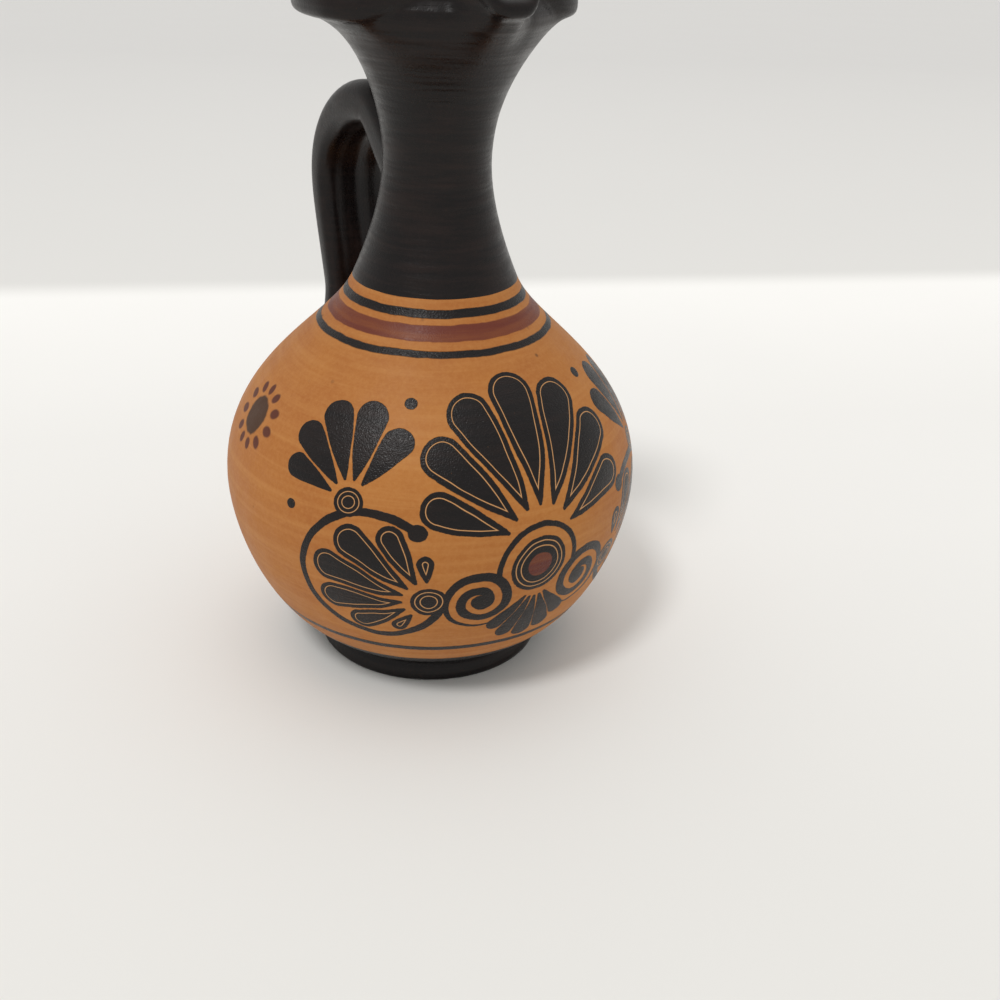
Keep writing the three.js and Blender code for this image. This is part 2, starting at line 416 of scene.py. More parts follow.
def neck_section(v, m, from_spout):
    """Closed section through neck and lip at an angle from the spout."""
    press = pinch_share(from_spout, *PRESS_ANGLES)
    lift = pinch_share(from_spout, *LIFT_ANGLES)
    slim = m.spout_slimness * (1 - smoothstep(from_spout, *SPOUT_ANGLES))
    full = m.front_fullness * (1 - smoothstep(from_spout, *FRONT_ANGLES))
    pressed = []
    for radius, height in flare_line(v):
        along = (radius - v.waist_radius) / (v.flare_radius - v.waist_radius)
        give = along ** PINCH_FADE
        pressed.append(Vector((radius - m.press_depth * press * give + full * swelling(along),
                               height + (m.lift_height * lift + slim) * give)))
    outside = chain(throat_line(v), pressed)
    end = outside[-1]
    outer = end.x + m.lip_flange + (m.pressed_flange - m.lip_flange) * press
    inner = outer - m.lip_width
    top = end.y + m.lip_rise - slim
    crest = (inner + outer) / 2
    face_low = end.y + m.lip_round * LIP_CORNER
    face_high = top - m.lip_round
    lining = offset(outside, v.neck_wall)[1:-LINING_STOP]
    shell = chain(
        outside,
        arc(end, (outer, end.y), (outer, face_low)),
        [Vector((outer, face_low)), Vector((outer, face_high))],
        arc((outer, face_high), (outer, top), (crest, top)),
        arc((crest, top), (inner, top), (inner, face_high)),
    )
    shell = smoothed(evenly(shell, SHELL_STEPS), SECTION_EASING)
    funnel = bezier(
        (inner, face_high),
        (inner, face_high - m.lip_round),
        lining[-1] + (lining[-1] - lining[-2]).normalized() * m.lip_round,
        lining[-1],
        steps=ROUND_STEPS,
    )
    inside = smoothed(chain(funnel, lining[::-1]), SECTION_EASING)
    foot = Vector((v.joint_radius - v.neck_wall, v.joint_height))
    return chain(shell, inside) + [foot]


def shape_mouth(bm, v, m, order):
    """Moves each spun vertex to its place in the section at its own angle from the spout."""
    sections = {}
    for vertex in bm.verts:
        turn = atan2(vertex.co.x, -vertex.co.y)
        key = round(abs(degrees(turn)), 3)
        if key not in sections:
            sections[key] = neck_section(v, m, key)
        radius, height = sections[key][vertex[order]]
        vertex.co = (radius * sin(turn), -radius * cos(turn), height)


# Strap handle

# Handles of the strap's three curves, as shares of the way out and up between their ends
STRAP_HANDLES = (((0.5, 0.42), (0.7, 1)), ((0.5, 0), (1, 0.45)), ((0, 0.22), (0.72, 0.55)))
STRAP_RINGS = 150
STRAP_EASING = 6
STRAP_SIDES = 76
SQUARENESS = 3.2
RIDGE_SPACING = 4.3 * MM
RIDGE_SHIFT = 0.6
ROOT_SINK = 1.8 * MM
SHOULDER_SINK = 4.2 * MM
STRAP_WIDENING = 0.3
SPREAD_FLATNESS = 0.3
SHOULDER_LENGTH = 0.16
NECK_RINGS = 40
SHOULDER_RINGS = 100
FILLET_RINGS = 9
FILLET_HOLD = 0.8
FILLET_SINK = 0.12 * MM
HIDDEN_SINK = 0.9 * MM
ROOT_REACH = 3.0 * MM
SLOPE_STEP = 0.2 * MM


def strap_line(line, s):
    """Even points along the middle of the strap, from neck to shoulder."""
    half_thickness = (s.neck_thickness + s.shoulder_thickness) / 4
    knots = [
        (radius_at(line, s.neck_root_height) - ROOT_SINK, s.neck_root_height),
        (radius_at(line, s.arch_height) + s.arch_stand_off, s.arch_height),
        (s.reach - half_thickness, s.reach_height),
        (radius_at(line, s.shoulder_root_height) - SHOULDER_SINK, s.shoulder_root_height),
    ]
    curves = []
    for start, end, handles in zip(knots, knots[1:], STRAP_HANDLES):
        leads = [(start[0] + out * (end[0] - start[0]), start[1] + up * (end[1] - start[1]))
                 for out, up in handles]
        curves.append(bezier(start, *leads, end))
    return smoothed(evenly(chain(*curves), STRAP_RINGS), STRAP_EASING)


def rounded(value):
    """Superellipse coordinate, squarer than a circle's."""
    return copysign(abs(value) ** (2 / SQUARENESS), value)


def strap_section(half_width, half_thickness, groove_depth):
    """Points round the strap as (across, out), with drawn grooves along both faces."""
    turns = [2 * pi * side / STRAP_SIDES for side in range(STRAP_SIDES)]
    ring = [Vector((half_width * rounded(cos(turn)), half_thickness * rounded(sin(turn))))
            for turn in turns]
    ring = evenly(ring + ring[:1], STRAP_SIDES)[:-1]
    for place in ring:
        wave = cos(2 * pi * place.x / RIDGE_SPACING + RIDGE_SHIFT)
        facing = (place.y / half_thickness) ** 4
        place.y -= copysign(groove_depth * facing * (1 - wave) / 2, place.y)
    return ring


def strap_rings(path, s):
    """Rings of points round the strap."""
    rings = []
    for index, middle in enumerate(path):
        part = index / STRAP_RINGS
        along = direction(path, index)
        spread = s.shoulder_spread * smoothstep(part, 1 - SHOULDER_LENGTH, 1)
        width = s.neck_width + (s.width - s.neck_width) * smoothstep(part, 0, STRAP_WIDENING)
        thickness = s.neck_thickness + (s.shoulder_thickness - s.neck_thickness) * part
        half_width = width / 2 + spread
        half_thickness = thickness / 2 + spread * SPREAD_FLATNESS
        section = strap_section(half_width, half_thickness, s.groove_depth)
        rings.append([Vector((across, middle.x - along.y * out, middle.y + along.x * out))
                      for across, out in section])
    return rings


def skin_normal(line, place):
    """Direction straight out of the vessel's skin next to a point."""
    normal = Vector((place.x, place.y, 0)).normalized()
    normal.z = -slope_at(line, place.z, SLOPE_STEP)
    return normal.normalized()


def on_skin(line, place, sink):
    """The point moved level to a depth under the vessel's skin."""
    radius = radius_at(line, place.z) - sink
    scale = radius / hypot(place.x, place.y)
    return Vector((place.x * scale, place.y * scale, place.z))


def until_skin(line, edge):
    """The part of an edge of the strap that is clear of the vessel, up to where it lands."""
    edge = list(edge)
    edge.append(edge[-1] + (edge[-1] - edge[-2]).normalized() * ROOT_REACH)
    gaps = [hypot(place.x, place.y) - radius_at(line, place.z) for place in edge]
    for index in range(1, len(edge)):
        if gaps[index] < 0:
            part = gaps[index - 1] / (gaps[index - 1] - gaps[index])
            return edge[:index] + [edge[index - 1].lerp(edge[index], part)]
    raise RuntimeError("The strap's edge doesn't reach the vessel")


def trimmed(edge, distance):
    """The edge without its last stretch."""
    edge = list(edge)
    while len(edge) > 2 and (edge[-1] - edge[-2]).length < distance:
        distance -= (edge[-1] - edge[-2]).length
        edge.pop()
    back = (edge[-2] - edge[-1]).normalized()
    return edge[:-1] + [edge[-1] + back * distance]


def rooted(line, rings, count, smear):
    """New rings down to the vessel's skin, ended by a smeared clay fillet."""
    edges = [until_skin(line, edge) for edge in zip(*rings)]
    middle = sum((edge[-1] for edge in edges), Vector()) / len(edges)
    runs = []
    for edge in edges:
        hit = edge[-1]
        normal = skin_normal(line, hit)
        outwards = hit - middle
        outwards = (outwards - normal * outwards.dot(normal)).normalized()
        rest = on_skin(line, hit + outwards * smear, FILLET_SINK)
        held = trimmed(edge, smear * FILLET_HOLD)
        under = on_skin(line, hit, HIDDEN_SINK)
        runs.append(evenly(held, count) + arc(held[-1], hit, rest, FILLET_RINGS)[1:] + [under])
    return list(zip(*runs))


def strap_with_roots(v, s):
    """All rings of the strap from neck to shoulder, with both fillets."""
    line = vessel_line(v)
    path = strap_line(line, s)
    rings = strap_rings(path, s)
    top = max(range(len(path)), key=lambda index: path[index].y)
    neck = rooted(line, rings[top::-1], NECK_RINGS, s.fillet)
    shoulder = rooted(line, rings[top:], SHOULDER_RINGS, s.fillet)
    return neck[::-1] + shoulder[1:]


def sweep(bm, rings):
    """Extrudes the first ring along all the others and closes both ends."""
    corners = [bm.verts.new(place) for place in rings[0]]
    edges = [bm.edges.new(pair) for pair in zip(corners, corners[1:] + corners[:1])]
    bmesh.ops.contextual_create(bm, geom=edges)
    for ring in rings[1:]:
        grown = bmesh.ops.extrude_edge_only(bm, edges=edges)["geom"]
        fresh = [item for item in grown if isinstance(item, bmesh.types.BMVert)]
        edges = [item for item in grown if isinstance(item, bmesh.types.BMEdge)
                 and set(fresh).issuperset(item.verts)]
        for vertex, place in zip(fresh, ring):
            vertex.co = place
    bmesh.ops.contextual_create(bm, geom=edges)


# Shader maths


class Wire:
    """A socket in a material's nodes that Python's operators work on."""

    def __init__(self, tree, socket=None):
        self.tree = tree
        self.socket = socket

    def node(self, kind, settings=None, inputs=None, output=0):
        """Adds a node: its settings first, then the values or links of its sockets."""
        made = self.tree.nodes.new("ShaderNode" + kind)
        for name, value in (settings or {}).items():
            if name == "stops":
                self._stops(made.color_ramp, value)
            else:
                setattr(made, name, value)
        for key, value in (inputs or {}).items():
            socket = made.inputs[key]
            if isinstance(value, Wire):
                self.tree.links.new(value.socket, socket)
            else:
                socket.default_value = value
        return Wire(self.tree, made.outputs[output])

    @staticmethod
    def _stops(ramp, stops):
        """Gives a ramp its stops, each a position with a grey value."""
        while len(ramp.elements) < len(stops):
            ramp.elements.new(1.0)
        for element, (position, value) in zip(ramp.elements, stops):
            element.position = position
            element.color = (value, value, value, 1.0)

    def maths(self, operation, *others):
        """Adds a Math node that works on this value and on others, wires or numbers."""
        return self.node("Math", {"operation": operation}, dict(enumerate((self, *others))))

    def __add__(self, other):
        return self.maths("ADD", other)

    __radd__ = __add__

    def __sub__(self, other):
        return self.maths("SUBTRACT", other)

    def __rsub__(self, other):
        return self.node("Math", {"operation": "SUBTRACT"}, {0: other, 1: self})

    def __mul__(self, other):
        return self.maths("MULTIPLY", other)

    __rmul__ = __mul__

    def __truediv__(self, other):
        return self.maths("DIVIDE", other)

    def __rtruediv__(self, other):
        return self.node("Math", {"operation": "DIVIDE"}, {0: other, 1: self})

    def __abs__(self):
        return self.maths("ABSOLUTE")

    def spread(self, low, high, to_low=0.0, to_high=1.0, passage="LINEAR"):
        """Maps a range of the value onto another, without leaving it."""
        return self.node("MapRange", {"interpolation_type": passage},
                         {"Value": self, "From Min": low, "From Max": high,
                          "To Min": to_low, "To Max": to_high})

    def below(self, limit, softness):
        """1 where the value is below the limit, 0 above it, with a soft edge."""
        return self.spread(limit - softness, limit + softness, 1.0, 0.0, "SMOOTHSTEP")

    def above(self, limit, softness):
        """1 where the value is above the limit, 0 below it, with a soft edge."""
        return self.spread(limit - softness, limit + softness, 0.0, 1.0, "SMOOTHSTEP")

    def mixed(self, first, second):
        """First colour where the value is 0, second where it is 1."""
        return self.node("Mix", {"data_type": "RGBA"}, {0: self, 6: first, 7: second}, 2)


def lesser(first, *others):
    """Smallest of the values: of distances, the shapes together."""
    for other in others:
        first = first.maths("MINIMUM", other)
    return first


def greater(first, *others):
    """Greatest of the values: of distances, what the shapes share."""
    for other in others:
        first = first.maths("MAXIMUM", other)
    return first


def root_sum(a, b):
    """Distance of a point from the middle of its own two coordinates."""
    return (a * a + b * b).maths("SQRT")


def layered(coat, *layers):
    """The coat with paint over it, layer by layer, each a mask and its colour."""
    for mask, paint in layers:
        coat = mask.mixed(coat, paint)
    return coat


def new_material(name):
    """A material with its shader and the surface that feeds it."""
    material = bpy.data.materials.new(name)
    material.use_nodes = True
    tree = material.node_tree
    return material, tree.nodes["Principled BSDF"], Surface(Wire(tree))


def plug(wire, shader, socket):
    """Links a wire to a socket of the shader."""
    wire.tree.links.new(wire.socket, shader.inputs[socket])


def coat_shader(shader, coat, rough, height, sheen):
    """Gives the shader its colour, roughness, relief in millimetres and sheen."""
    plug(coat, shader, "Base Color")
    plug(rough, shader, "Roughness")
    plug(height.node("Bump", None, {"Strength": 1.0, "Distance": MM, "Height": height}),
         shader, "Normal")
    shader.inputs["Specular IOR Level"].default_value = sheen


WHEEL_ACROSS = 0.25
WHEEL_ROUND = 0.9


class Surface:
    """Coordinates of a piece in millimetres and the noises that its material is made from."""

    def __init__(self, wire):
        self.wire = wire
        place = wire.node("TexCoord", output=3)
        self.place = wire.node("VectorMath", {"operation": "SCALE"}, {0: place, "Scale": 1 / MM})
        self.x, self.y, self.z = (wire.node("SeparateXYZ", None, {0: self.place}, axis)
                                  for axis in range(3))
        self.radius = root_sum(self.x, self.y)
        self.turn = self.x.maths("ARCTAN2", self.y * -1.0)

    def noise(self, scale, detail=3.0, roughness=0.55, stretch=(1, 1, 1), place=None):
        """Noise from 0 to 1, stretched along the axes, its scale in features per millimetre."""
        place = place or self.wire.node("VectorMath", {"operation": "MULTIPLY"},
                                        {0: self.place, 1: stretch})
        return self.wire.node("TexNoise", None, {"Vector": place, "Scale": scale,
                                                 "Detail": detail, "Roughness": roughness})

    def wheel_lines(self, scale, detail=4.0):
        """Noise that runs round the axis, as a wheel and a brush leave it."""
        place = self.wire.node("CombineXYZ", None, {0: self.radius * WHEEL_ACROSS,
                                                    1: self.turn * WHEEL_ROUND, 2: self.z})
        return self.noise(scale, detail, roughness=0.6, place=place)


# Painted ornament, drawn in millimetres on a flat map of the body's front and mirrored there

PETAL_FULLNESS = 0.93
PETAL_STEM = 0.3
PETAL_SWELL = 0.45
HAND_SWAY = 0.9
BACK_LIMIT = 0.4
HEART = (0.0, -2.6)
RED_HEART = 2.0
# Fans of petals: centre, direction, angle between petals, how many on each side of the middle
# one, their length, how even their lengths are, and where they start
CROWN = ((0.0, 1.0), 0.0, 22.0, 3, 28.5, 0.5, 6.0)
PENDANT = ((0.0, -6.0), 180.0, 18.0, 2, 13.0, 0.3, 3.0)
SIDE = ((17.3, -8.0), 76.0, 24.0, 3, 21.3, 0.15, 4.2)
BUD = ((30.6, 9.4), 10.0, 26.0, 2, 20.5, 0.45, 4.0)
# Spiral: centre, distance between its turns, thickness, radius, angle of its end
SCROLL = ((9.0, -8.0), 2.7, 1.55, 5.5, 7.7)
# Open rings: centre, radius, thickness, direction of the middle, half of the sweep
HOOP = ((27.5, -5.5), 13.17, 1.5, 111.2, 151.0)
COLLAR = (HEART, 6.5, 0.9, 0.0, 112.0)
# Discs: centre and radius
KNOB = ((19.0, 4.6), 1.5)
HEARTS = ((HEART, 4.7), ((17.0, -8.1), 2.9), ((30.6, 9.2), 2.7))
DROPS = (((18.6, 26.4), 1.2), ((43.6, 7.4), 1.1))
# Incised lines: half of their width, and how far inside the edges they run
INCISED = 0.09
PETAL_INSET = 0.95
HEART_INSETS = (0.75, 1.55)
HEART_CLEARANCE = 0.4

ROSETTE_TURN = 94.8
ROSETTE_HEIGHT = 43.4
ROSETTE_SQUASH = 0.86
EYE_RADIUS = 2.95
DOT_COUNT = 11
DOT_RING = 4.4
DOT_RADIUS = 0.7
DOT_SQUASH = 0.75


def disc(u, v, centre, radius):
    """Round spot."""
    return root_sum(u - centre[0], v - centre[1]) - radius


def turned_round(u, v, centre, degrees):
    """Coordinates about a centre, along and across a direction counted clockwise from up."""
    angle = radians(degrees)
    across, up = u - centre[0], v - centre[1]
    return across * sin(angle) + up * cos(angle), across * cos(angle) - up * sin(angle)


def curl(u, v, centre, radius, thickness, middle, half):
    """Ring of a given thickness, open where it is more than half degrees from its middle."""
    along, aside = turned_round(u, v, centre, middle)
    line = abs(root_sum(along, aside) - radius) - thickness / 2
    bend = abs(aside.maths("ARCTAN2", along))
    return greater(line, (bend - radians(half)) * radius)


def volute(u, v, centre, pitch, thickness, radius, end_angle):
    """Spiral that ends at its radius and angle, with an eye in the middle."""
    across, up = u - centre[0], v - centre[1]
    reach = root_sum(across, up)
    turns = reach / pitch + up.maths("ARCTAN2", across) / (2 * pi)
    phase = radius / pitch + end_angle / 360 - 0.5
    wound = abs((turns - phase).maths("FRACT") - 0.5) * pitch - thickness / 2
    arm = greater(wound, reach - radius - thickness * 0.3)
    return lesser(arm, reach - thickness * 0.9)


def fan(u, v, centre, direction, pitch, count, petal, evenness, start):
    """Petals fanned out from a centre, each widening to its round tip."""
    half = sin(radians(pitch / 2))
    girth = PETAL_FULLNESS * half / (1 + half)
    along, aside = turned_round(u, v, centre, direction)
    away = root_sum(along, aside)
    bend = aside.maths("ARCTAN2", along)
    step = radians(pitch)
    index = lesser(greater((bend / step).maths("ROUND"), -count), count)
    axis = index * step
    tip = (axis.maths("COSINE") * (1 - evenness) + evenness) * petal
    local = bend - axis
    forward = away * local.maths("COSINE")
    sideways = away * local.maths("SINE")
    last = tip * (1 - girth)
    held = lesser(greater(forward, start), last)
    grown = (held - start) / (last - start)
    swell = grown * (1 + PETAL_SWELL - grown * PETAL_SWELL)
    thickness = swell * (tip * girth - PETAL_STEM) + PETAL_STEM
    return root_sum(sideways, forward - held) - thickness


def ornament(surface, centre_height, ball_radius):
    """Signed distances of the ornament in slip, of its incised lines and of its red heart."""
    x, y, z = surface.x, surface.y, surface.z - centre_height
    away = (x * x + y * y + z * z).maths("SQRT")
    sway = surface.noise(0.14, detail=1.0) - 0.5
    rise = surface.noise(0.17, detail=1.0, stretch=(1.3, 1.1, 0.9)) - 0.5
    scale = 2 * ball_radius / greater(1 - y / away, 0.15)
    u = abs(x / away * scale + sway * HAND_SWAY)
    v = z / away * scale + rise * HAND_SWAY
    crown = fan(u, v, *CROWN)
    side = fan(u, v, *SIDE)
    petals = lesser(crown, side, fan(u, v, *PENDANT), fan(u, v, *BUD))
    stems = lesser(volute(u, v, *SCROLL), curl(u, v, *HOOP), curl(u, v, *COLLAR))
    spots = lesser(*[disc(u, v, *spot) for spot in (KNOB, *DROPS)])
    hearts = lesser(*[disc(u, v, *heart) for heart in HEARTS])
    behind = (y / away - BACK_LIMIT) * ball_radius
    slip = greater(lesser(petals, stems, spots, hearts), behind)
    veins = greater(abs(lesser(crown, side) + PETAL_INSET), HEART_CLEARANCE - hearts)
    rings = lesser(*[abs(hearts + inset) for inset in HEART_INSETS])
    return slip, lesser(veins, rings) - INCISED, disc(u, v, HEART, RED_HEART)


def rosette(surface, line):
    """Masks of the dark eye and of the ring of dots, on both sides of the jug."""
    turn = radians(ROSETTE_TURN)
    radius = radius_at(line, ROSETTE_HEIGHT * MM) / MM
    slope = slope_at(line, ROSETTE_HEIGHT * MM, MM)
    north = Vector((slope * sin(turn), -slope * cos(turn), 1)).normalized()
    x = abs(surface.x) - radius * sin(turn)
    y = surface.y + radius * cos(turn)
    z = surface.z - ROSETTE_HEIGHT
    across = x * cos(turn) + y * sin(turn)
    up = x * north.x + y * north.y + z * north.z
    wobble = surface.noise(0.5, detail=2.0) - 0.5
    reach = root_sum(across * ROSETTE_SQUASH, up) + wobble * 0.5
    bend = across.maths("ARCTAN2", up)
    step = 2 * pi / DOT_COUNT
    local = bend - (bend / step).maths("ROUND") * step
    forward = reach * local.maths("COSINE") - DOT_RING
    sideways = reach * local.maths("SINE")
    dots = root_sum(sideways, forward * DOT_SQUASH) - DOT_RADIUS
    eye = root_sum(across, up) + wobble * 1.1 - EYE_RADIUS
    return eye.below(0.0, 0.25), dots.below(0.0, 0.15)


# Finishes

BRUSH_EDGE = 0.07
CLAY_SHEEN = 0.26
SLIP_SHEEN = 0.24
PATCH_RISE = 2.2
PATCH_RADIUS = 8.6
PATCH_SQUASH = 0.92
SLIPPED_DEPTH = 14.0
WALL_STOPS = 24
WALL_RADIUS = 40.0


def clay_colour(surface, colours):
    """Burnished clay: patches, turned streaks, pale flecks and dark specks."""
    patches = surface.noise(0.045, roughness=0.6).spread(0.35, 0.7)
    streaks = surface.wheel_lines(0.9).spread(0.45, 0.8) * 0.5
    mottle = surface.noise(1.6, detail=4.0, roughness=0.7).spread(0.4, 0.75) * 0.32
    cells = surface.wire.node("TexVoronoi", None, {"Vector": surface.place, "Scale": 0.32})
    specks = cells.below(0.09, 0.05) * surface.noise(0.12).spread(0.5, 0.62)
    return layered(colours.deep_clay, (patches, colours.clay), (streaks, colours.pale_clay),
                   (mottle, colours.pale_clay), (specks * 0.55, colours.thin_black))


def slip_colour(surface, colours):
    """Black slip: thinner, browner streaks where the brush ran dry."""
    streaks = surface.wheel_lines(1.1, detail=5.0) * 0.6 + surface.noise(0.08) * 0.4
    fine = surface.noise(2.2).spread(0.5, 0.8) * 0.25
    return layered(colours.black, (streaks.spread(0.46, 0.74) * 0.62, colours.thin_black),
                   (fine, colours.thin_black))


def wall_middle(surface, outline, wall):
    """Radius half way through a wall, to tell its inside from its outside."""
    line = offset(outline, wall / 2)
    low, high = line[0].y, line[-1].y
    ramp = []
    for index in range(WALL_STOPS + 1):
        part = index / WALL_STOPS
        height = min(low + (high - low) * part, high)
        ramp.append((part, radius_at(line, height) / MM / WALL_RADIUS))
    height = surface.z.spread(low / MM, high / MM)
    return surface.wire.node("ValToRGB", {"stops": ramp}, {0: height}) * WALL_RADIUS


def painted_clay(scene):
    """Orange clay with rings, ornament and rosettes in slip."""
    colours = scene.jug_colours
    rings = scene.jug_rings
    vessel = scene.jug_vessel
    strap = scene.jug_strap
    line = body_line(vessel)
    material, shader, surface = new_material("painted_clay")
    wobble = (surface.noise(0.22, detail=2.0) - 0.5) * 0.34 + (surface.noise(1.1) - 0.5) * 0.1
    z = surface.z + wobble

    def band(top, bottom):
        """Mask of a painted ring between two heights."""
        return z.above(bottom / MM, BRUSH_EDGE) * z.below(top / MM, BRUSH_EDGE)

    inside = (surface.radius - wall_middle(surface, line, vessel.body_wall)).below(0.0, 0.05)
    ring_mask = greater(band(rings.upper_top, rings.upper_bottom),
                        band(rings.lower_top, rings.lower_bottom),
                        z.above(rings.neck_edge / MM, BRUSH_EDGE),
                        band(rings.ground_top, rings.ground_bottom),
                        z.below(rings.base_top / MM, BRUSH_EDGE))
    maroon_mask = band(rings.maroon_top, rings.maroon_bottom)

    slip, veins, heart = ornament(surface, vessel.belly_height / MM, vessel.belly_radius / MM)
    ragged = (surface.noise(1.7, detail=2.0) - 0.5) * 0.22
    drawn = (slip + ragged).below(0.0, 0.06)
    incised = veins.below(0.0, 0.06) * drawn
    eye, dots = rosette(surface, line)

    patch_z = strap.shoulder_root_height / MM + PATCH_RISE
    patch_y = radius_at(line, patch_z * MM) / MM
    away = root_sum(surface.x * PATCH_SQUASH, root_sum(surface.z - patch_z, surface.y - patch_y))
    patch = (away + wobble * 1.6).below(PATCH_RADIUS, 0.12)

    bare = surface.noise(0.9, detail=5.0, roughness=0.75).below(0.30, 0.03)
    black_mask = greater(ring_mask, drawn * (1 - incised), patch) * (1 - bare * 0.35)
    maroon_cloud = surface.wheel_lines(0.8).spread(0.4, 0.75) * 0.4
    maroon = maroon_cloud.mixed(colours.maroon, colours.deep_clay)
    raw = surface.noise(0.5, detail=4.0).spread(0.3, 0.8)
    coat = layered(
        clay_colour(surface, colours),
        (dots, colours.dot),
        (eye * 0.9, colours.thin_black),
        (maroon_mask * 0.96, maroon),
        (incised * 0.9, colours.incised),
        (black_mask, slip_colour(surface, colours)),
        (heart.below(0.0, 0.08) * 0.85, maroon),
        (inside, raw.mixed(colours.deep_clay, colours.raw_clay)),
    )

    painted = greater(black_mask, maroon_mask * 0.5) * (1 - inside)
    grain = surface.noise(2.6, detail=2.0)
    gloss = painted * (grain.spread(0.3, 0.7, -0.08, 0.08) - 0.22)
    rough = surface.noise(0.3).spread(0.3, 0.7, 0.5, 0.62) + gloss + inside * 0.25
    wheel = surface.wheel_lines(1.3, detail=3.0) * 0.05
    pores = surface.noise(1.4, detail=4.0, roughness=0.7) * 0.035
    relief = painted * (0.03 + surface.noise(4.2, detail=1.0) * 0.075) - incised * 0.05
    coat_shader(shader, coat, rough, wheel + pores + relief, CLAY_SHEEN)
    return material


def black_slip(scene, name, along_strap=False):
    """Black slip over clay, with turned lines or with drawn ones along the strap."""
    colours = scene.jug_colours
    vessel = scene.jug_vessel
    material, shader, surface = new_material(name)
    if along_strap:
        streaks = surface.noise(0.7, detail=2.0, stretch=(1.2, 0.2, 0.2))
        lines = surface.noise(0.3, detail=1.0, stretch=(1.3, 0.08, 0.08))
    else:
        streaks = surface.wheel_lines(1.0, detail=5.0)
        lines = surface.wheel_lines(0.55, detail=2.0)
    thin = streaks.spread(0.52, 0.8) * 0.4
    worn = surface.noise(0.7, detail=5.0, roughness=0.8).above(0.72, 0.02) * 0.3
    coat = layered(slip_colour(surface, colours), (thin, colours.thin_black),
                   (worn, colours.deep_clay))
    rough = streaks.spread(0.3, 0.7, 0.24, 0.37) + surface.noise(1.5).spread(0.3, 0.7, -0.04, 0.06)
    if not along_strap:
        neck = chain(throat_line(vessel), flare_line(vessel))
        within = surface.radius - wall_middle(surface, neck, vessel.neck_wall)
        inside = within.below(0.0, 0.2) * surface.z.below(
            vessel.flare_height / MM - SLIPPED_DEPTH, 1.0)
        coat = inside.mixed(coat, colours.raw_clay)
        rough = rough + inside * 0.3
    height = lines * 0.2 + streaks * 0.045 + surface.noise(2.4) * 0.03
    coat_shader(shader, coat, rough, height, SLIP_SHEEN)
    return material


# Operators

FOOT_EDGE = 0.8 * MM
TABLE_SIZE = 12.0
LENS = 45
SENSOR = 36
NEAREST = 0.01
# Lamps: turn off the camera, height above the table and spread in degrees, share of the light
LAMPS = {"key": (-30, 57, 11, 0.29), "ceiling": (150, 80, 70, 0.1)}


class JUG_OT_body(bpy.types.Operator):
    """Throw the body and paint it"""
    bl_idname = "jug.body"
    bl_label = "Body"

    def execute(self, context):
        v = context.scene.jug_vessel
        wall = v.body_wall
        outside = body_line(v)
        floor = v.foot_height + v.floor_thickness
        lining = [place for place in offset(outside, wall)
                  if floor + wall * 0.3 < place.y < v.joint_height - wall / 2]
        start = lining[0].x
        bend = arc(lining[0], (start - wall * 0.8, floor), (start - wall * 2, floor))
        bm = bmesh.new()
        line = [Vector((0, v.foot_height)), *outside,
                Vector((v.joint_radius - v.neck_wall, v.joint_height)),
                *lining[::-1], *bend[1:], Vector((0, floor))]
        spun(bm, profile_edges(bm, line))
        finished(bm, "painted_body", "painted_clay", painted_clay(context.scene), "body")
        return {"FINISHED"}


class JUG_OT_neck(bpy.types.Operator):
    """Throw the neck and pinch its mouth"""
    bl_idname = "jug.neck"
    bl_label = "Neck and mouth"

    def execute(self, context):
        v = context.scene.jug_vessel
        m = context.scene.jug_mouth
        bm = bmesh.new()
        order = bm.verts.layers.int.new("order")
        outline = profile_edges(bm, neck_section(v, m, 180.0), closed=True)
        for index, vertex in enumerate(bm.verts):
            vertex[order] = index
        spun(bm, outline)
        shape_mouth(bm, v, m, order)
        finished(bm, "slipped_neck", "black_slip", black_slip(context.scene, "neck_slip"),
                 "neck_and_mouth")
        return {"FINISHED"}


class JUG_OT_foot(bpy.types.Operator):
    """Turn the foot ring"""
    bl_idname = "jug.foot"
    bl_label = "Foot"

    def execute(self, context):
        v = context.scene.jug_vessel
        edge = FOOT_EDGE
        top = v.foot_height
        seat = v.foot_seat_radius
        outer = v.foot_rest_radius
        inner = outer - v.foot_rest_width
        recess = seat - v.foot_seat_width
        line = chain(
            arc((inner + edge, 0), (inner, 0), (inner - edge * 0.3, edge)),
            bezier((inner - edge * 0.3, edge), (inner - edge, top / 2), (recess, top / 2),
                   (recess, top), steps=ROUND_STEPS),
            [Vector((recess, top)), Vector((seat, top))],
            bezier((seat, top), (outer - edge * 0.4, top * 0.75), (outer, top / 2),
                   (outer, edge), steps=ROUND_STEPS),
            arc((outer, edge), (outer, 0), (outer - edge, 0)),
        )
        bm = bmesh.new()
        spun(bm, profile_edges(bm, line, closed=True))
        finished(bm, "turned_foot", "black_slip", black_slip(context.scene, "foot_slip"),
                 "foot_ring")
        return {"FINISHED"}


class JUG_OT_handle(bpy.types.Operator):
    """Pull the strap handle and smear its joints"""
    bl_idname = "jug.handle"
    bl_label = "Handle"

    def execute(self, context):
        scene = context.scene
        bm = bmesh.new()
        sweep(bm, strap_with_roots(scene.jug_vessel, scene.jug_strap))
        finished(bm, "strap_handle", "black_slip", black_slip(scene, "strap_slip", True), "handle")
        return {"FINISHED"}


class JUG_OT_stage(bpy.types.Operator):
    """Lay the table, set the light and place the camera"""
    bl_idname = "jug.stage"
    bl_label = "Stage"

    def execute(self, context):
        stage = context.scene.jug_stage
        lay_table(stage)
        set_light(context.scene, stage)
        place_camera(context.scene, stage)
        return {"FINISHED"}


